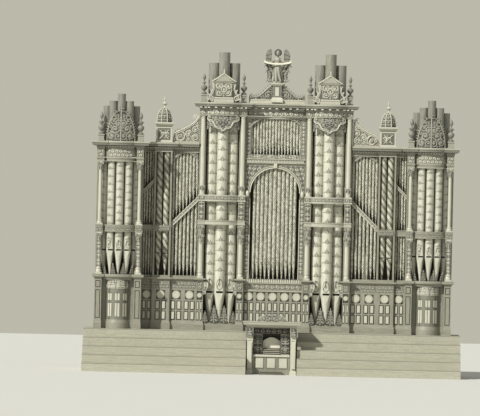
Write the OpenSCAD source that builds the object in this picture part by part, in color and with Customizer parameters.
// Concert hall pipe organ: two great towers, two bowed side towers, an arched centre and a console,
// on a stepped platform. Millimetres. The origin is the middle of the footprint on the hall floor,
// the front faces -Y and +Z is up.

/* [Platform] */
// Height of each step
riser = 371; // [320:1:400]
// Depth of each step
going = 600; // [480:10:800]
// Thickness of the floor boards
tread_t = 45; // [30:1:60]
// Thickness of the riser boards
riser_t = 30; // [18:1:40]
// Width of the whole platform
platform_w = 16600; // [16500:10:18000]
// Floor kept free in front of the side towers
floor_lip = 400; // [320:10:700]
// Width of the recess for the console
niche_w = 2240; // [2100:10:2400]
// Thickness of each bearer frame
bearer_t = 75; // [50:1:110]
// Thickness of the platform's end and back walls
skirt_t = 40; // [25:1:60]

/* [Case] */
// Depth of the case behind the wing fronts
case_d = 3200; // [2600:50:4500]
// Thickness of the case walls
wall_t = 60; // [45:1:80]
// Thickness of the panelled fronts and screens
board_t = 60; // [50:1:80]
// Thickness of the roof boards
roof_t = 40; // [25:1:60]
// Height of the plinth
plinth_h = 390; // [330:5:450]
// Height of the panelling over the plinth
dado_h = 1370; // [1200:10:1500]
// Height of the carved band over the panelling
band_h = 390; // [330:5:450]
// Height of the impost shelf
shelf_h = 140; // [100:5:180]
// Overhang of the impost shelf
shelf_out = 110; // [60:5:130]
// Height of the toe boards over the shelf
toe_h = 100; // [70:5:140]
// Clearance between the great and side pipes and the roofs behind them
pipe_gap = 15; // [5:1:40]
// Groove round a raised field
groove = 32; // [20:1:40]
// Depth of the grooves
groove_deep = 22; // [12:1:30]

/* [Great towers] */
// Distance of each great tower from the middle
great_x = 2350; // [2300:5:2400]
// Half the distance between a great tower's columns
great_half = 880; // [860:5:920]
// How far the great towers stand ahead of the wings
great_out = 250; // [220:5:300]
// Width of the piers and of the column bases
pier_w = 300; // [280:5:320]
// Depth of the posts behind the columns
post_d = 210; // [150:5:260]
// Width of the piers' scrolled ears
ear_w = 230; // [180:5:240]
// Height of the ears
ear_h = 580; // [450:10:620]
// Thickness of the ears
ear_t = 120; // [80:5:130]
// Diameter of the great columns
great_col_d = 270; // [230:5:280]
// Height of the lower column bases
low_base_h = 310; // [260:5:350]
// Height of the lower column shafts
low_shaft_h = 1200; // [1000:10:1400]
// Height of the lower capitals
low_cap_h = 870; // [700:10:950]
// Height of the lower rail
low_rail_h = 190; // [150:5:230]
// Thickness of the rails where they cross the pipes
great_rail_t = 70; // [50:5:75]
// Height of the carved pilasters over the lower rail
pilaster_h = 840; // [700:10:950]
// Height of the upper rail
up_rail_h = 280; // [220:5:320]
// Height of the upper column bases
up_base_h = 460; // [380:5:520]
// Height of the upper column shafts
up_shaft_h = 2940; // [2700:10:3200]
// Height of the upper capitals
up_cap_h = 110; // [80:5:150]
// Height of the main frieze
frieze_h = 260; // [200:5:300]
// Height of the main cornice
cornice_h = 320; // [260:5:360]
// Overhang of the main cornice
cornice_out = 200; // [150:5:230]
// Depth of the main cornice's boards over the centre
cornice_board = 120; // [80:5:160]
// How far the bow of a great tower stands out
great_bow = 220; // [180:5:260]
// Diameter of the great pipes
great_pipe_d = 490; // [460:5:500]
// Height of the block under the great pipes
toe_block_h = 350; // [280:5:400]
// Height of the great pipes' mouths over the organ floor
great_mouth = 1635; // [1500:5:1750]
// Height of the middle great pipes' tops over the organ floor
great_top = 12290; // [11900:10:12500]
// Half the width of a pediment's body
ped_half = 400; // [350:5:440]
// Height of a pediment's panel
ped_panel_h = 620; // [540:5:700]
// Height of a pediment's gable
gable_h = 350; // [280:5:400]
// Drop from a middle great pipe to its neighbours
great_step = 470; // [300:10:600]

/* [Centre] */
// Radius of the arch
arch_r = 1100; // [1060:5:1120]
// Height of the arch's springing over the organ floor
arch_spring = 6126; // [5900:10:6300]
// Height of the panel between the arch and the rail
arch_crown_h = 190; // [150:5:240]
// Height of the rail over the arch
arch_rail_h = 213; // [170:5:250]
// Height of the leaf cresting in front of the pipe feet
cresting_h = 200; // [120:5:240]
// Pipes in the arch
arch_pipe_n = 11; // [7:2:11]
// Diameter of the middle arch pipe
arch_pipe_d = 178; // [150:2:190]
// Pipes over the arch
upper_pipe_n = 17; // [9:2:17]
// Diameter of the upper pipes
upper_pipe_d = 118; // [90:2:130]
// Width of the pedestal of the figure
pedestal_w = 380; // [320:5:440]
// Height of the pedestal of the figure
pedestal_h = 910; // [800:10:1000]
// Height of the figure
figure_h = 1520; // [1350:10:1600]

/* [Wings] */
// Clear height of the wing openings over the toe board
wing_h = 5440; // [5200:10:5700]
// Height of the beam over the wing openings
beam_h = 100; // [80:5:140]
// Height of the wing cornice
wing_cornice_h = 330; // [280:5:380]
// Overhang of the wing and side cornices
wing_cornice_out = 220; // [140:5:240]
// Width of the inner wing bay
inner_bay_w = 1180; // [1120:5:1240]
// Width of the middle wing bay
middle_bay_w = 620; // [590:5:650]
// Width of the posts between the bays
bay_post_w = 80; // [60:2:90]
// How far the middle bay stands out
middle_out = 130; // [100:5:160]
// Height of the inner sloping rail's high end over the toe board
inner_rail_z = 3510; // [3300:10:3700]
// Fall of the inner sloping rail
inner_fall = 1185; // [1000:5:1300]
// Height of the outer sloping rail's high end over the toe board
outer_rail_z = 4250; // [4100:10:4400]
// Fall of the outer sloping rail
outer_fall = 500; // [400:5:600]
// Height of the straight rail across the outer bays over the toe board
cross_rail_z = 1940; // [1800:10:2100]
// Height of the straight rail
cross_rail_h = 270; // [200:5:300]
// Diameter of the middle bay's pipes
bay_pipe_d = 262; // [230:2:276]
// Diameter of the inner bay's pipes
wing_pipe_d = 122; // [100:2:130]
// Diameter of the outer bay's pipes
outer_pipe_d = 92; // [76:2:94]
// Height of the turret's body
turret_h = 738; // [650:5:800]
// Width of the turret's body
turret_w = 700; // [620:5:740]
// Height of the turret's dome
dome_h = 630; // [550:5:700]

/* [Side towers] */
// Distance of each side tower from the middle
side_x = 6840; // [6800:5:6900]
// Half the distance between a side tower's columns
side_half = 870; // [850:5:900]
// Width of the side towers' pilasters
side_w = 310; // [280:5:330]
// How far the side towers stand ahead of the wings
side_out = 1080; // [950:10:1200]
// How far the bow stands ahead of the columns
side_bow = 120; // [90:5:160]
// Radius of the bow
bow_r = 1000; // [970:5:1030]
// Radius of the drum under the bow
drum_r = 495; // [440:5:520]
// Height of the carved herms
herm_h = 1550; // [1400:10:1650]
// Height of the herms' capitals
herm_cap_h = 320; // [260:5:380]
// Height of the side rail
side_rail_h = 315; // [250:5:350]
// Height of the side column bases
side_base_h = 215; // [170:5:260]
// Height of the side capitals
side_cap_h = 320; // [260:5:380]
// Height of the side architrave
side_arch_h = 185; // [150:5:220]
// Height of the side frieze
side_frieze_h = 385; // [330:5:420]
// Diameter of the side columns
side_col_d = 180; // [150:5:220]
// Radius of the circle on which the side pipes stand
side_pipe_r = 742; // [730:2:760]
// Diameter of the side pipes
side_pipe_d = 362; // [330:2:364]
// Height of the side pipes' mouths over the organ floor
side_mouth = 3420; // [3200:10:3600]
// Height of the middle side pipe's top over the organ floor
side_top = 10347; // [10100:10:10500]
// Height of the crest over a side tower
crest_h = 1590; // [1400:10:1700]
// Height of the urns
urn_h = 1300; // [1100:10:1350]

/* [Console] */
// Gap between the console's posts and the walls of the recess
console_gap = 25; // [15:1:40]
// Width of the console's posts
console_post_w = 270; // [240:2:290]
// Height of the console's posts
console_post_h = 2075; // [1950:5:2150]
// Depth of the console from the posts' fronts to the back of the recess
console_d = 1350; // [1200:10:1500]
// Thickness of the console's canopy
canopy_h = 255; // [200:5:280]
// Overhang of the console's canopy
canopy_out = 200; // [80:5:220]
// Height of the mound of carving on the canopy
mound_h = 317; // [250:5:360]
// Height of the knee panels' top
knee_h = 875; // [820:5:920]
// Width of the opening for the keyboards
key_w = 800; // [760:5:840]
// Height of the keyboards' opening
key_open_h = 915; // [850:5:950]
// Distance between the keyboards
manual_step = 75; // [65:1:85]
// Number of keyboards
manual_n = 4; // [3:1:4]

/* [Hidden] */
$fn = 48;
$out = 0;

wood = "#96906f";
wood_light = "#aaa480";
wood_dark = "#7a7458";
pipe_metal = "#cdcab0";
floor_wood = "#a59f80";

// Steps below the organ floor
tiers = 4;
deck = riser * (tiers + 1);

// Depths: the front plane of each part of the case
plat_d = tiers * going + floor_lip + side_bow + side_out + case_d;
y_back = plat_d / 2;
y_plat = -plat_d / 2;
y_deck = y_plat + tiers * going;
y_wing = y_back - case_d;
y_great = y_wing - great_out;
y_post = y_great + pier_w;
y_side = y_wing - side_out;
y_side_col = y_side + side_w / 2;
y_bow = y_side - side_bow + bow_r;
y_drum = y_side - side_bow + drum_r;
y_base_wall = y_side + side_w - board_t;
y_mid_bay = y_wing - middle_out;
y_return = y_wing - board_t;

// Levels
z_panel = deck + plinth_h;
z_band = z_panel + dado_h;
z_shelf = z_band + band_h;
z_impost = z_shelf + shelf_h;
z_toe = z_impost + toe_h;
z_low_shaft = z_impost + low_base_h;
z_low_cap = z_low_shaft + low_shaft_h;
z_low_rail = z_low_cap + low_cap_h;
z_pilaster = z_low_rail + low_rail_h;
z_up_rail = z_pilaster + pilaster_h;
z_up_base = z_up_rail + up_rail_h;
z_up_shaft = z_up_base + up_base_h;
z_up_cap = z_up_shaft + up_shaft_h;
z_frieze = z_up_cap + up_cap_h;
z_cornice = z_frieze + frieze_h;
z_main_top = z_cornice + cornice_h;
z_spring = deck + arch_spring;
z_arch_rail = z_spring + arch_r + arch_crown_h;
z_upper = z_arch_rail + arch_rail_h;
z_beam = z_toe + wing_h;
z_wing_cornice = z_beam + beam_h;
z_wing_top = z_wing_cornice + wing_cornice_h;
z_herm_cap = z_toe + herm_h;
z_side_rail = z_herm_cap + herm_cap_h;
z_side_base = z_side_rail + side_rail_h;
z_side_shaft = z_side_base + side_base_h;
z_side_frieze = z_wing_cornice - side_frieze_h;
z_side_arch = z_side_frieze - side_arch_h;
z_side_cap = z_side_arch - side_cap_h;
z_cross = z_toe + cross_rail_z;

// Widths from the middle outwards
x_screen = great_x - great_half - pier_w / 2;
x_wing = great_x + great_half + pier_w / 2;
x_post_a = x_wing + inner_bay_w;
x_middle = x_post_a + bay_post_w;
x_post_b = x_middle + middle_bay_w;
x_outer = x_post_b + bay_post_w;
x_tower = side_x - side_half - side_w / 2;
x_end = side_x + side_half + side_w / 2;
eps = 1;

// Where the front pipes stand, and the roofs' front edges behind them
great_pitch = (great_half - pier_w / 2) * 0.615;
y_great_pipe = y_great + 430;
y_roof = y_great_pipe + great_pipe_d / 2 + pipe_gap;
side_step = 2 * asin((side_pipe_d / 2 + 5) / side_pipe_r);
y_side_roof = y_bow - side_pipe_r * cos(2 * side_step) + side_pipe_d / 2 + pipe_gap;

// A block between two corners, given as ranges
module block(x, y, z) {
    translate([x[0], y[0], z[0]])
        cube([x[1] - x[0], y[1] - y[0], z[1] - z[0]]);
}

// The same piece on the left and on the right
module both_sides() {
    children();
    mirror([1, 0, 0])
        children();
}

// A flat shape drawn as seen from the front, reaching back from y0 to y1
module front_shape(y0, y1) {
    translate([0, y1, 0])
        rotate([90, 0, 0])
            linear_extrude(y1 - y0)
                children();
}

// Moulding profiles: pairs of overhang and height from the bottom up
function cove(h, out, n = 5) = [for (i = [0:n]) [out * (1 - cos(90 * i / n)), h * sin(90 * i / n)]];

function cornice_profile(h, out) = concat(
    [[0, 0], [out * 0.1, 0], [out * 0.1, h * 0.14]],
    [for (p = cove(h * 0.4, out * 0.6)) [out * 0.14 + p[0], h * 0.18 + p[1]]],
    [[out * 0.82, h * 0.58], [out * 0.82, h * 0.76], [out * 0.9, h * 0.8], [out, h * 0.9], [out, h]]
);

function shelf_profile(h, out) = concat(
    [for (p = cove(h * 0.45, out * 0.7)) p],
    [[out, h * 0.55], [out, h * 0.9], [out * 0.9, h]]
);

function base_profile(h, out) = [
    [out, 0], [out, h * 0.62], [out * 0.6, h * 0.78], [out * 0.35, h * 0.86], [0, h]
];

function rail_profile(h, out) = [
    [out, 0], [out, h * 0.16], [out * 0.3, h * 0.24], [out * 0.3, h * 0.76], [out, h * 0.84], [out, h]
];

function widest(prof) = max([for (p = prof) p[0]]);

function tall(prof) = prof[len(prof) - 1][1];

// A moulding that runs straight along X
module run(x, y, z, prof) {
    translate([x[0], 0, z])
        rotate([90, 0, 90])
            linear_extrude(x[1] - x[0])
                polygon(concat([for (p = prof) [y[0] - p[0], p[1]]], [[y[1], tall(prof)], [y[1], 0]]));
}

// A moulding mitred round the front and both sides of a block
module wrapped(x, y, z, prof) {
    reach = widest(prof);
    intersection() {
        run([x[0] - reach, x[1] + reach], y, z, prof);
        translate([0, y[1], z])
            rotate([90, 0, 0])
                linear_extrude(y[1] - y[0] + reach)
                    polygon(concat(
                        [for (p = prof) [x[1] + p[0], p[1]]],
                        [for (i = [len(prof) - 1:-1:0]) [x[0] - prof[i][0], prof[i][1]]]
                    ));
    }
}

// A moulding mitred round the front part of a block, whose back part is plain
module returned(x, w, y, z, prof) {
    wrapped([x - w / 2, x + w / 2], [y[0], y[1]], z, prof);
    block([x - w / 2, x + w / 2], [y[1], y[2]], [z, z + tall(prof)]);
}

// A moulding that runs round an arc centred on the tower, open at the back
module bowed(r, t, half_angle, z, prof) {
    translate([0, 0, z])
        rotate([0, 0, -90 - half_angle])
            rotate_extrude(angle = 2 * half_angle, $fn = 192)
                polygon(concat(
                    [[r - t, 0]],
                    [for (p = prof) [r + p[0], p[1]]],
                    [[r - t, tall(prof)]]
                ));
}

// A moulding built up in courses: the plan is drawn once a course, wider by $out
module bands(z, prof) {
    for (i = [1:len(prof) - 1]) {
        low = round(prof[i - 1][1]);
        high = round(prof[i][1]);
        if (high > low) {
            $out = round((prof[i][0] + prof[i - 1][0]) / 2);
            translate([0, 0, z + low])
                linear_extrude(high - low)
                    children();
        }
    }
}

// The groove round one raised field, cut from a board whose face is at y
module field_groove(x, z, w, h, y) {
    difference() {
        block([x - w / 2, x + w / 2], [y - eps, y + groove_deep], [z, z + h]);
        block([x - w / 2 + groove, x + w / 2 - groove], [y - 2 * eps, y + 2 * groove_deep],
            [z + groove, z + h - groove]);
    }
}

// A square recess with a round boss in it
module round_groove(x, z, w, h, y) {
    difference() {
        block([x - w / 2, x + w / 2], [y - eps, y + groove_deep], [z, z + h]);
        translate([x, y + 2 * groove_deep, z + h / 2])
            rotate([90, 0, 0])
                cylinder(r = min(w, h) / 2 - 6, h = 3 * groove_deep + eps);
    }
}

// One column of panelling: a round panel over two rows of twin upright panels
module panel_cuts(x, w, y) {
    row = dado_h / 3;
    gap = 60;
    pair = (w - gap) / 2;
    round_groove(x, z_panel + 2 * row + gap / 2, min(w, row - gap), row - gap, y);
    for (i = [0, 1], s = [-1, 1])
        field_groove(x + s * (pair + gap) / 2, z_panel + i * row + gap / 2, pair, row - gap, y);
}

// A speaking pipe: conical foot, languid, mouth, and an open body; lips are pressed flat on large ones
module flue(x, y, toe, mouth, top, d, lips) {
    r = d / 2;
    t = max(3, d / 80);
    flat = lips ? r * 0.8 : r;
    mouth_w = d * 0.6;
    cut_up = mouth_w * 0.3;
    lip_w = mouth_w * 1.2;
    lip_h = d * 1.4;
    translate([x, y, 0]) {
        difference() {
            body_form(r, mouth, top, mouth, lip_w, lip_h, flat, lips);
            body_form(r - t, mouth + 2 * t, top + eps, mouth, lip_w + 2 * t, lip_h + 2 * t, flat - t, lips);
            block([-mouth_w / 2, mouth_w / 2], [-r - eps, 0], [mouth + 2 * t, mouth + 2 * t + cut_up]);
        }
        difference() {
            foot_form(r, r * 0.2, toe, mouth, flat, lips);
            foot_form(r - t, r * 0.2 - t, toe - eps, mouth, flat - t, lips);
        }
    }
}

// The body of a pipe; its front is pressed back to a flat inside the upper lip's outline
module body_form(r, z0, z1, mouth, lip_w, lip_h, flat, lips) {
    difference() {
        translate([0, 0, z0])
            cylinder(r = r, h = z1 - z0);
        if (lips)
            translate([0, 0, mouth])
                front_shape(-2 * r, -flat)
                    lip_outline(lip_w, lip_h);
    }
}

// The conical foot; its front is pressed back to a flat, so that the lower lip is the curve where they meet
module foot_form(r, toe_r, toe, mouth, flat, lips) {
    difference() {
        translate([0, 0, toe])
            cylinder(r1 = toe_r, r2 = r, h = mouth - toe);
        if (lips)
            block([-r, r], [-2 * r, -flat], [toe, mouth + eps]);
    }
}

// The pointed outline of an upper lip, from just under the mouth upwards
module lip_outline(w, h) {
    n = 6;
    edge = [for (i = [0:n]) [w / 2 * cos(90 * i / n), h * (0.45 * sin(90 * i / n) + 0.55 * pow(i / n, 3))]];
    polygon(concat(
        [[-w / 2, -eps], [w / 2, -eps]],
        edge,
        [for (i = [n - 1:-1:0]) [-edge[i][0], edge[i][1]]]
    ));
}

// One tread with its riser board, on each side of the console's recess
module tier(k) {
    y = y_plat + (k - 1) * going;
    color(floor_wood)
        both_sides() {
            block([niche_w / 2 + skirt_t, platform_w / 2 - skirt_t], [y, y + going + riser_t],
                [k * riser - tread_t, k * riser]);
            block([niche_w / 2 + skirt_t, platform_w / 2 - skirt_t], [y, y + riser_t],
                [k > 1 ? (k - 1) * riser : 0, k * riser - tread_t]);
        }
}

module tier_1() tier(1);

module tier_2() tier(2);

module tier_3() tier(3);

module tier_4() tier(4);

module organ_floor() {
    color(floor_wood) {
        block([-platform_w / 2 + skirt_t, platform_w / 2 - skirt_t], [y_deck, y_back - skirt_t],
            [deck - tread_t, deck]);
        both_sides()
            block([niche_w / 2 + skirt_t, platform_w / 2 - skirt_t], [y_deck, y_deck + riser_t],
                [tiers * riser, deck - tread_t]);
    }
}

// The outline of the first n steps from the side, with the boards taken off by inset
module step_outline(n, inset_y, inset_z, y_end) {
    polygon(concat(
        [for (k = [1:n], s = [0, 1])
            [y_plat + (k - 1) * going + inset_y, (k - 1 + s) * riser - (k - 1 + s > 0 ? inset_z : 0)]],
        [[y_end, n * riser - inset_z], [y_end, 0]]
    ));
}

module side_wall(n, x0, x1, inset_y, inset_z, y_end) {
    translate([x0, 0, 0])
        rotate([90, 0, 90])
            linear_extrude(x1 - x0)
                step_outline(n, inset_y, inset_z, y_end);
}

module platform_walls() {
    color(floor_wood) {
        both_sides() {
            side_wall(tiers + 1, platform_w / 2 - skirt_t, platform_w / 2, 0, 0, y_back - skirt_t);
            side_wall(tiers, niche_w / 2, niche_w / 2 + skirt_t, 0, 0, y_deck);
        }
        block([-niche_w / 2 - skirt_t, niche_w / 2 + skirt_t], [y_deck, y_deck + skirt_t],
            [0, deck - tread_t]);
        block([-platform_w / 2, platform_w / 2], [y_back - skirt_t, y_back], [0, deck]);
    }
}

module platform_frames() {
    first = niche_w / 2 + skirt_t + 300;
    last = platform_w / 2 - skirt_t - 300;
    n = 5;
    rail = 120;
    color(wood_dark)
        both_sides()
            for (i = [0:n - 1])
                translate([first + (last - first - bearer_t) * i / (n - 1), 0, 0])
                    difference() {
                        side_wall(tiers + 1, 0, bearer_t, riser_t, tread_t, y_back - skirt_t);
                        for (k = [3:tiers])
                            block([-eps, bearer_t + eps],
                                [y_plat + (k - 1) * going + riser_t + rail, y_plat + k * going + riser_t],
                                [rail, (k - 1) * riser - tread_t - rail]);
                        for (s = [0:2])
                            block([-eps, bearer_t + eps],
                                [y_deck + rail + s * (y_back - y_deck) / 3, y_deck + (s + 1) * (y_back - y_deck) / 3
                                    - rail],
                                [rail, deck - tread_t - rail]);
                    }
}

// Outer walls of the case behind the side towers, the towers' inner returns, and the upper walls
module case_sides() {
    color(wood)
        both_sides() {
            difference() {
                block([x_end - wall_t, x_end], [y_side + side_w, y_back], [deck, z_side_arch]);
                for (i = [0:3], k = [0:2])
                    side_groove(i, k);
            }
            block([x_tower, x_tower + wall_t], [y_side + side_w, y_wing + board_t], [deck, z_side_arch]);
            block([x_wing - wall_t, x_wing], [y_post + post_d, y_back], [z_wing_top, z_main_top - roof_t]);
        }
}

// Panels on the outer case walls
module side_groove(i, k) {
    len_y = y_back - y_side - side_w;
    pitch = len_y / 4;
    rows = [[plinth_h, dado_h], [plinth_h + dado_h + band_h, 2200], [4900, 2200]];
    inner = groove * 2;
    translate([x_end, y_side + side_w + i * pitch, deck + rows[k][0]]) {
        difference() {
            translate([-groove_deep, 90, 60])
                cube([groove_deep + eps, pitch - 180, rows[k][1] - 120]);
            translate([-2 * groove_deep, 90 + inner, 60 + inner])
                cube([3 * groove_deep, pitch - 180 - 2 * inner, rows[k][1] - 120 - 2 * inner]);
        }
    }
}

module case_back() {
    cols = 10;
    pitch = 2 * (x_end - wall_t) / cols;
    color(wood)
        difference() {
            union() {
                block([-x_end + wall_t, x_end - wall_t], [y_back - wall_t, y_back], [deck, z_side_arch]);
                block([-x_wing + wall_t, x_wing - wall_t], [y_back - wall_t, y_back],
                    [z_side_arch, z_main_top - roof_t]);
                both_sides()
                    block([x_wing - wall_t, x_end - wall_t], [y_back - wall_t, y_back],
                        [z_side_arch, z_wing_top - roof_t]);
            }
            for (c = [0:cols - 1], k = [0:2])
                back_recess(-x_end + wall_t + (c + 0.5) * pitch, pitch - 180, k);
        }
}

module back_recess(x, w, k) {
    low = [deck + 120, deck + 2500, deck + 4900];
    high = [deck + 2380, deck + 4780, z_side_arch - 150];
    block([x - w / 2, x + w / 2], [y_back - groove_deep, y_back + eps], [low[k], high[k]]);
}

module case_roof() {
    color(wood_dark) {
        both_sides() {
            block([x_wing, x_end - wall_t], [y_wing + board_t, y_back - wall_t],
                [z_wing_top - roof_t, z_wing_top]);
            block([x_tower + wall_t, x_end - wall_t], [y_side_roof, y_wing + board_t],
                [z_wing_top - roof_t, z_wing_top]);
        }
        block([-x_wing, x_wing], [y_roof, y_back], [z_main_top - roof_t, z_main_top]);
        block([-x_screen + cornice_out, x_screen - cornice_out], [y_wing + cornice_board, y_roof],
            [z_main_top - roof_t, z_main_top]);
    }
}

// Square posts behind the columns and between the wing bays
module case_posts() {
    color(wood)
        both_sides() {
            for (s = [-1, 1])
                block([great_x + s * great_half - pier_w / 2, great_x + s * great_half + pier_w / 2],
                    [y_post, y_post + post_d], [deck, z_frieze]);
            for (x = [x_post_a, x_post_b])
                block([x, x + bay_post_w], [y_mid_bay, y_wing + board_t], [z_toe, z_beam]);
        }
}

module base_plinth() {
    prof = base_profile(plinth_h, 40);
    color(wood_light) {
        run([-x_screen, x_screen], [y_wing, y_wing + board_t], deck, prof);
        both_sides() {
            for (s = [-1, 1])
                wrapped([great_x + s * great_half - pier_w / 2, great_x + s * great_half + pier_w / 2],
                    [y_great, y_post], deck, prof);
            wrapped([great_x - great_half + pier_w / 2, great_x + great_half - pier_w / 2],
                [y_great + 60, y_post + post_d], deck, [[0, 0], [0, toe_block_h]]);
            run([x_wing, x_tower], [y_wing, y_wing + board_t], deck, prof);
            wrapped([x_post_a, x_outer], [y_mid_bay, y_wing + board_t], deck, prof);
            translate([side_x, 0, 0]) {
                for (s = [-1, 1])
                    wrapped([s * side_half - side_w / 2, s * side_half + side_w / 2],
                        [y_side, y_side + side_w], deck, base_profile(plinth_h, 20));
                block([-side_half + side_w / 2, side_half - side_w / 2],
                    [y_base_wall, y_side + side_w], [deck, deck + plinth_h]);
                half_drum(deck, base_profile(plinth_h, 30));
            }
        }
    }
}

module centre_panelling() {
    w = 2 * x_screen / 5 - 100;
    color(wood) {
        difference() {
            block([-x_screen, x_screen], [y_wing, y_wing + board_t], [z_panel, z_band]);
            for (i = [-2:2])
                panel_cuts(i * 2 * x_screen / 5, w, y_wing);
        }
        run([-x_screen, x_screen], [y_wing, y_wing + board_t], z_band, [[0, 0], [0, band_h]]);
    }
}

module wing_panelling() {
    inner_w = inner_bay_w / 2;
    outer_w = x_tower - x_outer;
    color(wood)
        both_sides()
            difference() {
                union() {
                    block([x_wing, x_tower], [y_wing, y_wing + board_t], [z_panel, z_shelf]);
                    block([x_post_a, x_outer], [y_mid_bay, y_wing], [z_panel, z_shelf]);
                }
                for (i = [0, 1])
                    panel_cuts(x_wing + (i + 0.5) * inner_w, inner_w - 110, y_wing);
                panel_cuts((x_post_a + x_outer) / 2, middle_bay_w - 130, y_mid_bay);
                panel_cuts((x_outer + x_tower) / 2, outer_w - 90, y_wing);
            }
}

// The front of a drum, which runs back to the wall between the pilasters
module half_drum(z, prof) {
    intersection() {
        translate([0, y_drum, 0])
            bowed(drum_r, board_t, 90, z, prof);
        block([-side_half, side_half], [y_side - bow_r, y_base_wall], [z, z + tall(prof)]);
    }
}

// Round drums with sunk panels between the corner pilasters of the side towers
module tower_bases() {
    row_z = [0.08, 0.6];
    row_h = [0.47, 0.26];
    face = 2 * drum_r * sin(14);
    color(wood)
        both_sides()
            translate([side_x, 0, 0]) {
                for (s = [-1, 1])
                    difference() {
                        block([s * side_half - side_w / 2, s * side_half + side_w / 2],
                            [y_side, y_side + side_w], [z_panel, z_shelf]);
                        field_groove(s * side_half, z_panel + 60, side_w - 90, dado_h - 120, y_side);
                        field_groove(s * side_half, z_band + 40, side_w - 90, band_h - 80, y_side);
                    }
                block([-side_half + side_w / 2, side_half - side_w / 2],
                    [y_base_wall, y_side + side_w], [z_panel, z_shelf]);
                difference() {
                    half_drum(z_panel, [[0, 0], [0, dado_h + band_h]]);
                    for (a = [-41.6, 0, 41.6], k = [0, 1])
                        translate([0, y_drum, z_panel + dado_h * row_z[k]])
                            rotate([0, 0, a])
                                translate([-face / 2, -drum_r - eps, 0])
                                    cube([face, groove_deep + eps, dado_h * row_h[k]]);
                }
            }
}

// The scrolled ear beside the pipe feet, under the shelf: its outline as shares of its width and height
module pier_ear(w, h) {
    polygon([for (p = [
        [0, 1], [0.8, 1], [0.95, 0.88], [1, 0.74], [0.93, 0.58], [0.74, 0.42], [0.52, 0.32],
        [0.56, 0.2], [0.5, 0.08], [0.34, 0.01], [0.16, 0.03], [0, 0.1]
    ]) [p[0] * w, p[1] * h]]);
}

module great_piers() {
    color(wood)
        both_sides()
            for (s = [-1, 1]) {
                x = great_x + s * great_half;
                difference() {
                    block([x - pier_w / 2, x + pier_w / 2], [y_great, y_post], [z_panel, z_shelf]);
                    panel_cuts(x, pier_w - 50, y_great);
                    field_groove(x, z_band + 30, pier_w - 60, band_h - 60, y_great);
                }
                front_shape(y_great + ear_t / 4, y_great + ear_t * 5 / 4)
                    translate([x - s * (pier_w / 2 - eps), z_shelf - ear_h])
                        scale([-s, 1])
                            pier_ear(ear_w, ear_h);
            }
}

module impost_shelf() {
    prof = shelf_profile(shelf_h, shelf_out);
    color(wood_light) {
        run([-x_screen, x_screen], [y_wing, y_wing + 260], z_shelf, [[20, 0], [40, shelf_h]]);
        both_sides() {
            for (s = [-1, 1])
                returned(great_x + s * great_half, pier_w, [y_great, y_return, y_post], z_shelf, prof);
            run([x_wing, x_tower], [y_wing, y_wing + 260], z_shelf, prof);
            run([x_wing, x_tower], [y_wing, y_wing + 260], z_impost, [[0, 0], [0, toe_h]]);
            wrapped([x_post_a, x_outer], [y_mid_bay, y_wing], z_shelf, prof);
            wrapped([x_post_a, x_outer], [y_mid_bay, y_wing], z_impost, [[0, 0], [0, toe_h]]);
            bands(z_shelf, shelf_profile(shelf_h + toe_h, shelf_out))
                side_front_plan(bow_r - 380, y_bow);
        }
    }
}

// A turned column: base, shaft with a slight swelling, and a capital
module column(z0, base_h, shaft_h, cap_h, d, w) {
    r = d / 2;
    b = w / 2;
    n = 6;
    plate = min(base_h, cap_h) * 0.25;
    color(wood_light) {
        block([-b, b], [-b, b], [z0, z0 + plate]);
        block([-b, b], [-b, b], [z0 + base_h + shaft_h + cap_h - plate, z0 + base_h + shaft_h + cap_h]);
        translate([0, 0, z0 + plate])
            rotate_extrude($fn = 96)
                polygon(concat(
                    [[0, 0], [b * 0.98, 0], [b * 0.98, (base_h - plate) * 0.3], [b * 0.86, (base_h - plate) * 0.45],
                        [b * 0.8, (base_h - plate) * 0.6], [b * 0.92, (base_h - plate) * 0.8],
                        [r, base_h - plate]],
                    [for (i = [1:n]) [r - r * 0.08 * pow(i / n, 2), base_h - plate + shaft_h * i / n]],
                    [[r * 1.08, base_h + shaft_h - plate + cap_h * 0.08],
                        [r * 0.95, base_h + shaft_h - plate + cap_h * 0.12],
                        [b * 0.84, base_h + shaft_h - plate + cap_h * 0.6],
                        [b * 0.98, base_h + shaft_h + cap_h - 2 * plate],
                        [0, base_h + shaft_h + cap_h - 2 * plate]]
                ));
    }
}

module great_columns() {
    both_sides()
        for (s = [-1, 1])
            translate([great_x + s * great_half, y_great + pier_w / 2, 0]) {
                column(z_impost, low_base_h, low_shaft_h, low_cap_h, great_col_d, pier_w);
                column(z_up_base, up_base_h, up_shaft_h, up_cap_h, great_col_d, pier_w);
            }
}

// Rails across the great columns, with the carved pilasters between them
// The plan of a rail that crosses a great tower: a block on each column and the bow between them
module great_rail_plan() {
    for (s = [-1, 1])
        translate([s * great_half - pier_w / 2, 0]) {
            translate([-$out, y_great - $out])
                square([pier_w + 2 * $out, y_return - y_great + $out]);
            translate([0, y_return])
                square([pier_w, y_post - y_return]);
        }
    bow_plan(great_rail_t);
}

module great_rails() {
    b = pier_w / 2;
    color(wood)
        both_sides()
            translate([great_x, 0, 0]) {
                bands(z_low_rail, rail_profile(low_rail_h, 40))
                    great_rail_plan();
                bands(z_up_rail, rail_profile(up_rail_h, 30))
                    great_rail_plan();
                for (x = [-great_half, great_half])
                    difference() {
                        block([x - b + 15, x + b - 15], [y_great + 15, y_post], [z_pilaster, z_up_rail]);
                        field_groove(x, z_pilaster + 40, pier_w - 90, pilaster_h - 80, y_great + 15);
                    }
            }
}

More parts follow.
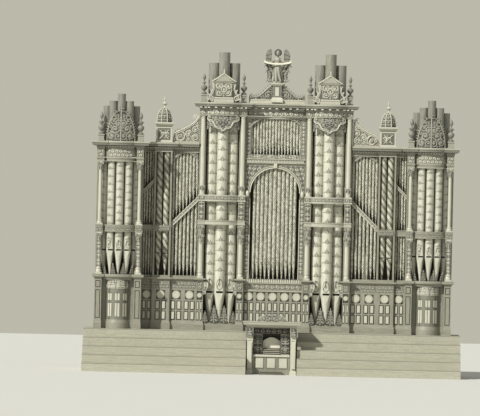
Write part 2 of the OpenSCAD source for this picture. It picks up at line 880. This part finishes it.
module great_pipes() {
    y_mid_pipe = y_great_pipe - sqrt(pow(great_pipe_d + 20, 2) - great_pitch * great_pitch);
    color(pipe_metal)
        both_sides()
            for (i = [-1, 0, 1])
                flue(great_x + i * great_pitch, i == 0 ? y_mid_pipe : y_great_pipe, deck + toe_block_h,
                    deck + great_mouth, deck + great_top - abs(i) * great_step, great_pipe_d, true);
}

// The plan of the block over a column: it breaks out all round in front, and behind on the side s alone
module block_plan(w, s, y0, y1, y2) {
    translate([-w / 2 - $out, y0 - $out])
        square([w + 2 * $out, y1 - y0 + $out]);
    translate([s > 0 ? -w / 2 : -w / 2 - $out, y1])
        square([w + $out, y2 - y1]);
}

// The plan of the bow alone
module bow_plan(t) {
    half = great_half - pier_w / 2;
    rise = great_bow + 25;
    r = (half * half + rise * rise) / (2 * rise);
    intersection() {
        translate([0, y_great - great_bow + r])
            difference() {
                circle(r = r + $out, $fn = 192);
                circle(r = r - t, $fn = 192);
            }
        translate([-half, y_great - 2 * great_bow])
            square([2 * half, 2 * great_bow + pier_w / 2]);
    }
}

// The plan of a great tower's front: a column block on each side and the bow between them
module great_plan(t) {
    for (s = [-1, 1])
        translate([s * great_half, 0])
            block_plan(pier_w, s, y_great, y_return, y_post + post_d);
    bow_plan(t);
}

// The plan of the main entablature over the centre and the great towers
module main_plan() {
    translate([-x_screen, y_wing - $out])
        square([2 * x_screen, cornice_board + $out]);
    for (s = [-1, 1])
        translate([s * great_x, 0])
            great_plan(70);
}

module main_entablature() {
    color(wood) {
        bands(z_frieze, [[15, 0], [15, frieze_h]])
            main_plan();
        bands(z_cornice, cornice_profile(cornice_h, cornice_out))
            main_plan();
    }
}

// Carved shades that hang in front of the pipe tops
module pipe_shades() {
    half = great_half - pier_w / 2;
    drop = 780;
    lobe = half / 3;
    bracket = (x_screen - arch_r) * 1.36;
    color(wood_light) {
        both_sides() {
            intersection() {
                translate([great_x, 0, z_frieze - drop])
                    linear_extrude(drop)
                        bow_plan(50);
                front_shape(y_great - great_bow - eps, y_wing + 600)
                    difference() {
                        translate([great_x - half, z_frieze - drop])
                            square([2 * half, drop]);
                        for (i = [-1, 0, 1])
                            translate([great_x + i * 2 * lobe, z_frieze - drop - lobe * 0.1])
                                circle(r = lobe * 0.94);
                        for (i = [-1, 0, 1])
                            translate([great_x + i * 2 * lobe - lobe * 0.94, z_frieze - drop - lobe])
                                square([lobe * 1.88, lobe * 0.9]);
                    }
            }
            front_shape(y_wing, y_wing + 50)
                polygon([[arch_r, z_frieze - 100], [arch_r - bracket, z_frieze - 100],
                    [arch_r, z_frieze - 100 - bracket]]);
            front_shape(y_wing, y_wing + 50)
                polygon([[x_wing, z_beam], [x_wing + bracket, z_beam], [x_wing, z_beam - bracket]]);
            front_shape(y_wing, y_wing + 50)
                polygon([[x_post_a, z_beam], [x_post_a - bracket, z_beam], [x_post_a, z_beam - bracket]]);
        }
        block([-x_screen, x_screen], [y_wing, y_wing + 50], [z_frieze - 100, z_frieze]);
    }
}

// Small temple fronts that stand on the great towers' cornices
module pediments() {
    y0 = y_great - great_bow - 70;
    y1 = y0 + 135;
    base_h = 230;
    z_eave = base_h + ped_panel_h;
    flare = ped_half * 0.6;
    scroll_h = ped_panel_h * 0.8;
    color(wood_light)
        both_sides()
            translate([great_x, 0, z_main_top]) {
                wrapped([-ped_half * 1.1, ped_half * 1.1], [y0, y1], 0, base_profile(base_h, 25));
                difference() {
                    block([-ped_half, ped_half], [y0, y1], [base_h, z_eave]);
                    field_groove(0, base_h + 50, 2 * ped_half - 180, ped_panel_h - 100, y0);
                }
                both_sides()
                    front_shape(y0, y1)
                        polygon(concat(
                            [[ped_half, base_h]],
                            [for (i = [0:6])
                                [ped_half + flare * (1 - sin(15 * i)), base_h + scroll_h * (1 - cos(15 * i))]]
                        ));
                wrapped([-ped_half * 1.05, ped_half * 1.05], [y0, y1], z_eave, shelf_profile(70, 60));
                front_shape(y0, y1)
                    polygon([[-ped_half * 1.26, z_eave + 70], [ped_half * 1.26, z_eave + 70],
                        [0, z_eave + 70 + gable_h]]);
                translate([0, (y0 + y1) / 2, z_eave + gable_h + 30])
                    rotate_extrude()
                        polygon([[0, 0], [45, 0], [30, 60], [60, 130], [60, 180], [0, 250]]);
            }
}

// A turned urn with a flame on a square pedestal
module urn(h, w) {
    block([-w / 2, w / 2], [-w / 2, w / 2], [0, h * 0.2]);
    translate([0, 0, h * 0.2])
        rotate_extrude()
            polygon([[0, 0], [w * 0.3, 0], [w * 0.16, h * 0.06], [w * 0.3, h * 0.12], [w * 0.46, h * 0.22],
                [w * 0.42, h * 0.27], [w * 0.14, h * 0.34], [w * 0.12, h * 0.42], [w * 0.32, h * 0.46],
                [w * 0.32, h * 0.49], [w * 0.1, h * 0.54], [w * 0.08, h * 0.64], [w * 0.2, h * 0.7],
                [w * 0.12, h * 0.76], [0, h * 0.8]]);
}

module urn_finials() {
    color(wood_light)
        both_sides() {
            for (s = [-1, 1])
                translate([great_x + s * great_half, y_great + pier_w / 2, z_main_top])
                    urn(urn_h, pier_w);
            for (s = [-1, 1])
                translate([side_x + s * side_half, y_side_col, z_wing_top])
                    urn(urn_h, side_w);
        }
}

// The centre screen: an arch with its archivolt, keystone and corbels, the rail and the cresting
module arch_screen() {
    jamb = x_screen - arch_r;
    n_leaf = 13;
    leaf = 2 * x_screen / n_leaf;
    color(wood) {
        front_shape(y_wing, y_wing + board_t)
            difference() {
                translate([-x_screen, z_impost])
                    square([2 * x_screen, z_arch_rail - z_impost]);
                translate([-arch_r, z_impost - eps])
                    square([2 * arch_r, z_spring - z_impost + eps]);
                translate([0, z_spring])
                    circle(r = arch_r, $fn = 96);
            }
        front_shape(y_wing - 25, y_wing)
            difference() {
                translate([0, z_spring])
                    circle(r = arch_r + 90, $fn = 96);
                translate([0, z_spring])
                    circle(r = arch_r, $fn = 96);
                translate([-2 * arch_r, z_spring - 2 * arch_r])
                    square([4 * arch_r, 2 * arch_r]);
            }
        front_shape(y_wing - 70, y_wing)
            polygon([[-60, z_spring + arch_r], [60, z_spring + arch_r], [85, z_arch_rail], [-85, z_arch_rail]]);
        run([-x_screen, x_screen], [y_wing, y_wing + 260], z_arch_rail, rail_profile(arch_rail_h, 60));
        both_sides() {
            block([x_screen - jamb, x_screen], [y_wing, y_wing + board_t], [z_upper, z_frieze - 100]);
            translate([arch_r + jamb / 2, y_wing, z_spring - 260])
                corbel(jamb);
        }
        front_shape(y_wing - 40, y_wing - 10)
            for (i = [0:n_leaf - 1])
                translate([-x_screen + (i + 0.5) * leaf, z_upper])
                    polygon([[-leaf * 0.5, 0], [leaf * 0.5, 0], [leaf * 0.5, cresting_h * 0.3],
                        [leaf * 0.3, cresting_h * 0.7], [0, cresting_h], [-leaf * 0.3, cresting_h * 0.7],
                        [-leaf * 0.5, cresting_h * 0.3]]);
    }
}

// A tapered bracket at the springing of the arch
module corbel(w) {
    rotate([90, 0, 90])
        translate([0, 0, -w * 0.35])
            linear_extrude(w * 0.7)
                polygon([[0, 0], [-20, 0], [-60, 60], [-90, 160], [-110, 210], [-110, 260], [0, 260]]);
}

module arch_pipes() {
    half = (arch_pipe_n - 1) / 2;
    pitch = (arch_r - 60) / (half + 0.45);
    color(pipe_metal)
        for (i = [-half:half]) {
            d = arch_pipe_d - abs(i) * 7;
            flue(i * pitch * (1 - 0.012 * abs(i)), y_wing + 150, z_impost, deck + 3019,
                z_spring + sqrt(arch_r * arch_r - pow(abs(i) * pitch * 0.9, 2)) - 20, d, false);
        }
}

module upper_pipes() {
    half = (upper_pipe_n - 1) / 2;
    pitch = (x_screen - 180) / (half + 0.5);
    color(pipe_metal)
        for (i = [-half:half])
            flue(i * pitch, y_wing + 150, z_upper, z_upper + 450 + 200 * (1 - abs(i) / half),
                z_frieze - 20, upper_pipe_d, false);
}

// Open scrollwork that sweeps up from the centre cornice to the pedestal of the figure
module scroll_crest() {
    y0 = y_wing - 60;
    y1 = y_wing + 60;
    rail_h = 90;
    color(wood_light)
        translate([0, 0, z_main_top]) {
            block([-x_screen + 60, x_screen - 60], [y0, y1], [0, rail_h]);
            wrapped([-pedestal_w / 2, pedestal_w / 2], [y_wing - 130, y_wing + 190], rail_h,
                base_profile(180, 40));
            difference() {
                block([-pedestal_w / 2, pedestal_w / 2], [y_wing - 130, y_wing + 190],
                    [rail_h + 180, pedestal_h - 120]);
                field_groove(0, rail_h + 220, pedestal_w - 100, pedestal_h - rail_h - 400, y_wing - 130);
            }
            wrapped([-pedestal_w / 2, pedestal_w / 2], [y_wing - 130, y_wing + 190], pedestal_h - 120,
                shelf_profile(120, 50));
            both_sides()
                front_shape(y0 + 20, y1 - 20)
                    difference() {
                        polygon(concat(
                            [[pedestal_w / 2, rail_h], [x_screen - 80, rail_h], [x_screen - 80, rail_h + 60]],
                            [for (i = [0:8]) [pedestal_w / 2 + (x_screen - 120 - pedestal_w / 2) * (1 - i / 8),
                                rail_h + 90 + 560 * pow(i / 8, 2.4)]]
                        ));
                        translate([pedestal_w / 2 + 190, rail_h + 165])
                            circle(r = 110);
                        translate([pedestal_w / 2 + 400, rail_h + 95])
                            circle(r = 60);
                    }
        }
}

// A flat carved piece of the figure: its outline is given as shares of the figure's height
module carved_outline(h, y0, y1, outline) {
    front_shape(h * y0, h * y1)
        polygon([for (p = outline) h * p]);
}

// A calm standing figure with upright wings, which holds a hanging band over the falls of its cloak
module winged_figure() {
    h = figure_h;
    wing = [[0.05, 0.6], [0.3, 0.6], [0.34, 0.7], [0.31, 0.86], [0.26, 0.96], [0.21, 1], [0.16, 0.95],
        [0.125, 0.82], [0.05, 0.72]];
    cloak = [[0.06, 0], [0.21, 0], [0.28, 0.1], [0.26, 0.24], [0.31, 0.44], [0.38, 0.6], [0.33, 0.62],
        [0.2, 0.52], [0.06, 0.5]];
    color(wood_light)
        translate([0, y_wing + 30, z_main_top + pedestal_h]) {
            rotate_extrude()
                polygon([[0, 0], [h * 0.12, 0], [h * 0.125, h * 0.04], [h * 0.1, h * 0.2], [h * 0.085, h * 0.38],
                    [h * 0.075, h * 0.5], [h * 0.06, h * 0.56], [h * 0.08, h * 0.68], [h * 0.07, h * 0.75],
                    [h * 0.026, h * 0.78], [h * 0.026, h * 0.82], [0, h * 0.82]]);
            translate([0, -h * 0.005, h * 0.875])
                sphere(r = h * 0.062);
            both_sides() {
                carved_outline(h, 0.04, 0.075, wing);
                carved_outline(h, -0.04, 0.04, cloak);
                limb(h, [0.07, 0, 0.72], [0.2, -0.05, 0.6], 0.026);
                limb(h, [0.2, -0.05, 0.6], [0.34, -0.09, 0.66], 0.02);
                limb(h, [0.34, -0.09, 0.66], [0.4, -0.08, 0.64], 0.016);
            }
        }
}

// A rounded limb between two points given as shares of the height
module limb(h, a, b, r) {
    hull() {
        translate(h * a)
            sphere(r = h * r, $fn = 12);
        translate(h * b)
            sphere(r = h * r * 0.8, $fn = 12);
    }
}

// The line on which the pipes of the inner bay stand, from the outer post up to the tower
function inner_line(x) = z_toe + inner_rail_z - (x - x_wing) / inner_bay_w * inner_fall;

// The same line in the outer bay
function outer_line(x) = z_toe + outer_rail_z - (x - x_outer) / (x_tower - x_outer) * outer_fall;

// A sloping rail with a stepped toe board behind its face
module sloping_rail(x0, x1, z0, z1, h, n, d) {
    front_shape(y_wing - 20, y_wing + 45)
        polygon([[x0, z0 - h], [x1, z1 - h], [x1, z1], [x0, z0]]);
    front_shape(y_wing + 45, y_wing + 190)
        polygon([[x0, z0 - 55], [x1, z1 - 55], [x1, z1], [x0, z0]]);
    slope = (z0 - z1) / (x1 - x0);
    pitch = (x1 - x0) / n;
    for (i = [0:n - 1]) {
        x = x0 + (i + 0.5) * pitch;
        z = z0 - (x - x0) * slope;
        block([x - d * 0.3, x + d * 0.3], [y_wing + 60, y_wing + 180], [z - 40, z + d * 0.3 * slope]);
    }
}

module wing_rails() {
    color(wood_light)
        both_sides() {
            sloping_rail(x_wing, x_post_a, inner_line(x_wing), inner_line(x_post_a), 210, 8, wing_pipe_d);
            sloping_rail(x_outer, x_tower, outer_line(x_outer), outer_line(x_tower), 150, 4, outer_pipe_d);
            run([x_middle, x_post_b], [y_mid_bay + 20, y_mid_bay + 60], z_cross,
                rail_profile(cross_rail_h, 30));
            run([x_outer, x_tower], [y_wing, y_wing + 190], z_cross, rail_profile(cross_rail_h, 20));
        }
}

// One row of pipes whose feet and tops follow two functions of x
module pipe_row(x0, x1, n, d, toes, mouth_up, tops) {
    pitch = (x1 - x0) / n;
    for (i = [0:n - 1])
        flue(x0 + (i + 0.5) * pitch, y_wing + 120, toes[i], toes[i] + mouth_up, tops[i], d, false);
}

module wing_pipes() {
    inner_pitch = inner_bay_w / 8;
    inner_slope = inner_fall / inner_bay_w;
    outer_pitch = (x_tower - x_outer) / 4;
    outer_slope = outer_fall / (x_tower - x_outer);
    low_pitch = inner_bay_w / 7;
    bay_pitch = middle_bay_w / 2;
    color(pipe_metal)
        both_sides() {
            pipe_row(x_wing, x_post_a, 7, wing_pipe_d, [for (i = [0:6]) z_toe], 530,
                [for (i = [0:6]) inner_line(x_wing + (i + 0.5) * low_pitch) - 75 - wing_pipe_d / 2 * inner_slope]);
            pipe_row(x_wing, x_post_a, 8, wing_pipe_d,
                [for (i = [0:7]) inner_line(x_wing + (i + 0.5) * inner_pitch) + wing_pipe_d * 0.3 * inner_slope],
                480, [for (i = [0:7]) z_beam - 10]);
            for (i = [0, 1])
                flue(x_middle + (i + 0.5) * bay_pitch, y_mid_bay + 70 + bay_pipe_d / 2, z_toe, deck + 3330,
                    z_beam - 10, bay_pipe_d, true);
            pipe_row(x_outer, x_tower, 4, outer_pipe_d, [for (i = [0:3]) z_toe], 530,
                [for (i = [0:3]) z_cross - 10]);
            pipe_row(x_outer, x_tower, 4, outer_pipe_d, [for (i = [0:3]) z_cross + cross_rail_h], 400,
                [for (i = [0:3]) outer_line(x_outer + (i + 0.5) * outer_pitch) - 70 - outer_pipe_d / 2 * outer_slope]);
            pipe_row(x_outer, x_tower, 4, outer_pipe_d,
                [for (i = [0:3]) outer_line(x_outer + (i + 0.5) * outer_pitch) + outer_pipe_d * 0.3 * outer_slope],
                350, [for (i = [0:3]) z_beam - 10]);
        }
}

// The plan of a side tower's front: a block over each column and the bow between them, back to y_end
module side_front_plan(t, y_end) {
    for (s = [-1, 1])
        translate([side_x + s * side_half, 0])
            block_plan(side_w, s, y_side, y_side + side_w / 3, y_side + side_w - pipe_gap);
    intersection() {
        translate([side_x, y_bow])
            difference() {
                circle(r = bow_r + $out, $fn = 192);
                circle(r = bow_r - t, $fn = 192);
            }
        translate([x_tower + side_w, y_bow - 2 * bow_r])
            square([2 * side_half - side_w, y_end - y_bow + 2 * bow_r]);
    }
}

// The same plan with the tower's inner return and outer side
module side_plan(t) {
    side_front_plan(t, y_side + side_w);
    translate([x_tower - $out, y_side])
        square([wall_t + $out, y_wing + board_t - y_side]);
    translate([x_end - wall_t, y_side])
        square([wall_t + $out, y_back - y_side]);
}

// The plan of a wing's front with its middle bay standing forward
module wing_plan() {
    translate([x_wing, y_wing - $out])
        square([x_tower - x_wing, board_t + $out]);
    translate([x_post_a - $out, y_mid_bay - $out])
        square([x_outer - x_post_a + 2 * $out, middle_out + $out]);
}

module lower_entablature() {
    crown = cornice_profile(wing_cornice_h, wing_cornice_out);
    arch = [[0, 0], [0, side_arch_h * 0.65], [20, side_arch_h * 0.65], [20, side_arch_h]];
    color(wood)
        both_sides() {
            bands(z_beam, [[0, 0], [0, beam_h]])
                wing_plan();
            bands(z_wing_cornice, crown) {
                wing_plan();
                side_plan(65);
            }
            bands(z_side_arch, arch)
                side_plan(65);
            bands(z_side_frieze, [[0, 0], [0, side_frieze_h]])
                side_plan(65);
        }
}

// Square lanterns with faceted domes on the wing cornices
module turrets() {
    x = (x_post_a + x_outer) / 2;
    y0 = y_mid_bay + 10;
    w = turret_w;
    color(wood_light)
        both_sides() {
            wrapped([x - w / 2, x + w / 2], [y0, y0 + w], z_wing_top, base_profile(90, 20));
            difference() {
                block([x - w / 2, x + w / 2], [y0, y0 + w], [z_wing_top + 90, z_wing_top + turret_h]);
                field_groove(x, z_wing_top + 140, w - 120, turret_h - 200, y0);
            }
            wrapped([x - w / 2, x + w / 2], [y0, y0 + w], z_wing_top + turret_h, shelf_profile(150, 90));
            translate([x, y0 + w / 2, z_wing_top + turret_h + 150])
                rotate([0, 0, 22.5])
                    rotate_extrude($fn = 8)
                        polygon(concat(
                            [[0, 0]],
                            [for (i = [0:8]) [w * 0.52 * cos(90 * i / 8 * 0.94), dome_h * sin(90 * i / 8) ]],
                            [[0, dome_h]]
                        ));
            translate([x, y0 + w / 2, z_wing_top + turret_h + 150 + dome_h])
                rotate_extrude()
                    polygon([[0, -20], [50, -20], [25, 60], [25, 120], [90, 190], [90, 220], [30, 270], [18, 400],
                        [40, 430], [0, 530]]);
        }
}

// Pierced scrolls between the turrets and the great towers: a volute, and a sweep that steepens to a curl
module scroll_brackets() {
    w = (x_post_a + x_outer) / 2 - turret_w / 2 - 20 - x_wing;
    rise = z_frieze - z_wing_top;
    volute = rise * 0.26;
    curl = rise * 0.08;
    x_volute = w - volute - 10;
    n = 10;
    color(wood_light)
        both_sides()
            front_shape(y_wing - 60, y_wing + 60)
                translate([x_wing, z_wing_top])
                    difference() {
                        union() {
                            polygon(concat(
                                [[0, 0], [x_volute, 0]],
                                [for (i = [-6:6]) [x_volute + volute * cos(15 * i), volute + volute * sin(15 * i)]],
                                [for (i = [1:n]) [x_volute * (1 - i / n) + curl * 0.2,
                                    2 * volute + (rise - 2 * volute) * pow(i / n, 2)]],
                                [[0, rise]]
                            ));
                            translate([curl * 1.3, rise - curl * 1.1])
                                circle(r = curl);
                        }
                        translate([x_volute, volute])
                            circle(r = volute * 0.45);
                        translate([w * 0.18, rise * 0.2])
                            circle(r = rise * 0.11);
                        translate([w * 0.14, rise * 0.5])
                            circle(r = rise * 0.08);
                        translate([w * 0.44, rise * 0.37])
                            circle(r = rise * 0.07);
                    }
}

module side_columns() {
    both_sides()
        for (s = [-1, 1])
            translate([side_x + s * side_half, y_side_col, 0]) {
                column(z_toe, herm_h * 0.2, herm_h * 0.8, herm_cap_h, side_w * 0.62, side_w);
                column(z_side_base, side_base_h, z_side_cap - z_side_shaft, side_cap_h, side_col_d, side_w);
            }
}

module side_rails() {
    color(wood)
        both_sides()
            bands(z_side_rail, rail_profile(side_rail_h, 20))
                side_front_plan(60, y_side + side_w);
}

module side_pipes() {
    drop = [0, 318, 535];
    color(pipe_metal)
        both_sides()
            for (i = [-2:2])
                flue(side_x + side_pipe_r * sin(i * side_step), y_bow - side_pipe_r * cos(i * side_step), z_toe,
                    deck + side_mouth, deck + side_top - drop[abs(i)], side_pipe_d, true);
}

// Rounded crests of pierced leafwork with a cross at the top, which follow the bow of the side towers
module tower_crests() {
    body_h = crest_h * 0.84;
    n = 12;
    leaf = 45;
    half = side_half - side_w / 2 - leaf - 5;
    bar = 50;
    side = [for (i = [0:n]) [half * pow(cos(89 * i / n), 0.45) + (i % 2 == 0 ? 0 : leaf), body_h * i / n]];
    color(wood_light)
        both_sides()
            intersection() {
                translate([side_x, y_bow, 0])
                    bowed(bow_r + 30, 70, 60, z_wing_top, [[0, 0], [0, crest_h + 10]]);
                front_shape(y_bow - 2 * bow_r, y_bow)
                    translate([side_x, z_wing_top])
                        difference() {
                            union() {
                                polygon(concat(side, [for (i = [n:-1:0]) [-side[i][0], side[i][1]]]));
                                translate([-bar / 2, body_h - bar])
                                    square([bar, crest_h - body_h + bar]);
                                translate([-bar * 1.6, (body_h + crest_h) / 2 + bar * 0.3])
                                    square([bar * 3.2, bar]);
                            }
                            for (s = [-1, 1]) {
                                translate([s * half * 0.45, body_h * 0.24])
                                    circle(r = half * 0.2);
                                translate([s * half * 0.36, body_h * 0.66])
                                    circle(r = half * 0.13);
                            }
                        }
            }
}

// Console values: the posts stand in the recess of the platform
y_console = y_deck - console_d;
post_base_out = 10;
console_half = niche_w / 2 - console_gap - post_base_out - console_post_w / 2;
console_in = console_half - console_post_w / 2;

module console_body() {
    y0 = y_console + 150;
    y1 = y_console + console_d;
    t = 40;
    color(wood) {
        difference() {
            block([-console_in, console_in], [y0, y0 + t], [0, knee_h]);
            for (i = [-1, 0, 1])
                field_groove(i * console_in * 0.64, 234, console_in * 0.56, 540, y0);
        }
        block([-console_in, console_in], [y0 + t, y1], [knee_h - t, knee_h]);
        block([-console_in, console_in], [y1 - t, y1], [0, knee_h - t]);
        both_sides()
            block([console_in - t, console_in], [y0 + t, y1 - t], [0, knee_h - t]);
        block([-console_in, console_in], [y1 - t, y1], [knee_h, console_post_h]);
        both_sides()
            block([console_in - t, console_in], [y0 + 300, y1 - t], [knee_h, console_post_h]);
        block([-console_in, console_in], [y0 + 300, y0 + 340], [knee_h + key_open_h, console_post_h]);
    }
}

module console_posts() {
    w = console_post_w;
    base_h = 168;
    bracket_h = 485;
    z_bracket = console_post_h - bracket_h;
    lean = 60;
    color(wood_light)
        both_sides()
            translate([console_half, y_console + w / 2, 0]) {
                returned(0, w, [-w / 2, 0, w / 2], 0, base_profile(base_h, post_base_out));
                difference() {
                    block([-w / 2 + 15, w / 2 - 15], [-w / 2 + 15, w / 2], [base_h, z_bracket]);
                    field_groove(0, base_h + 80, w - 110, z_bracket - base_h - 170, -w / 2 + 15);
                }
                rotate([90, 0, 90])
                    translate([0, 0, -w / 2])
                        linear_extrude(w)
                            polygon([[w / 2, z_bracket], [-w / 2 + 15, z_bracket],
                                [-w / 2 - lean / 2, z_bracket + bracket_h * 0.23],
                                [-w / 2 - lean, z_bracket + bracket_h * 0.6], [-w / 2 - lean, console_post_h],
                                [w / 2, console_post_h]]);
            }
}

module console_canopy() {
    y1 = y_console + console_d;
    x = console_half + console_post_w / 2;
    n = 12;
    color(wood_light) {
        wrapped([-x, x], [y_console - 60, y1], console_post_h, cornice_profile(canopy_h, canopy_out));
        front_shape(y_console + 60, y_console + 180)
            polygon([for (i = [0:n]) [660 * cos(180 * i / n), console_post_h + canopy_h
                + mound_h * pow(sin(180 * i / n), 0.8)]]);
    }
}

// Four keyboards as a stepped stand, each with its cheeks and its row of keys
module keyboards() {
    y0 = y_console + 250;
    w = key_w - 60;
    n = 40;
    pitch = (w - 60) / n;
    y_desk = y0 + manual_n * 110 + 60;
    for (m = [0:manual_n - 1]) {
        z = knee_h + m * manual_step;
        y = y0 + m * 110;
        color(wood) {
            block([-w / 2, w / 2], [y + 20, y_desk], [z, z + manual_step - 22]);
            block([-w / 2, w / 2], [y + 110, y_desk], [z + manual_step - 22, z + manual_step]);
            both_sides()
                block([w / 2 - 30, w / 2], [y + 20, y + 110], [z + manual_step - 22, z + manual_step]);
        }
        color("ivory")
            for (k = [0:n - 1])
                translate([-w / 2 + 30 + k * pitch + 0.5, y, z + manual_step - 22])
                    cube([pitch - 1, 108, 18]);
    }
}

module music_desk() {
    y = y_console + 250 + manual_n * 110;
    z = knee_h + manual_n * manual_step;
    w = key_w - 60;
    color(wood_light)
        front_shape(y + 20, y + 50)
            polygon(concat(
                [[w / 2, z], [w / 2, z + 300]],
                [for (i = [0:8]) [w / 2 * (1 - i / 8), z + 300 + 160 * sin(90 * i / 8)]],
                [for (i = [1:8]) [-w / 2 * i / 8, z + 300 + 160 * cos(90 * i / 8)]],
                [[-w / 2, z]]
            ));
}

// Terraced jambs with rows of stop knobs
module stop_jambs() {
    y0 = y_console + 450;
    x0 = key_w / 2;
    x1 = console_in - 40;
    color(wood)
        both_sides()
            block([x0, x1], [y0 - 40, y0], [knee_h, knee_h + key_open_h]);
    color("ivory")
        both_sides()
            for (i = [0:2], k = [0:5])
                translate([x0 + (x1 - x0) * (0.19 + 0.25 * i), y0 - 40, knee_h + key_open_h * (0.13 + 0.13 * k)])
                    rotate([90, 0, 0])
                        cylinder(r = 22, h = 45, $fn = 24);
}

module pedalboard() {
    y0 = y_console - 250;
    y1 = y_console + 150;
    n = 27;
    half = 524;
    color(wood_dark) {
        block([-half, half], [y0, y0 + 60], [0, 84]);
        block([-half, half], [y1 - 60, y1], [0, 84]);
        both_sides()
            block([half - 40, half], [y0 + 60, y1 - 60], [0, 84]);
    }
    color(wood)
        for (i = [0:n - 1])
            translate([-half + 40 + (i + 0.5) * (2 * half - 80) / n - 10, y0, 84])
                cube([20, y1 - y0, 40]);
}

organ_floor();
tier_1();
tier_2();
tier_3();
tier_4();
platform_walls();
platform_frames();
case_sides();
case_back();
case_roof();
case_posts();
base_plinth();
centre_panelling();
wing_panelling();
tower_bases();
great_piers();
impost_shelf();
great_columns();
great_rails();
great_pipes();
pipe_shades();
main_entablature();
pediments();
urn_finials();
arch_screen();
arch_pipes();
upper_pipes();
scroll_crest();
winged_figure();
wing_rails();
wing_pipes();
lower_entablature();
turrets();
scroll_brackets();
side_columns();
side_rails();
side_pipes();
tower_crests();
console_body();
console_posts();
console_canopy();
keyboards();
music_desk();
stop_jambs();
pedalboard();
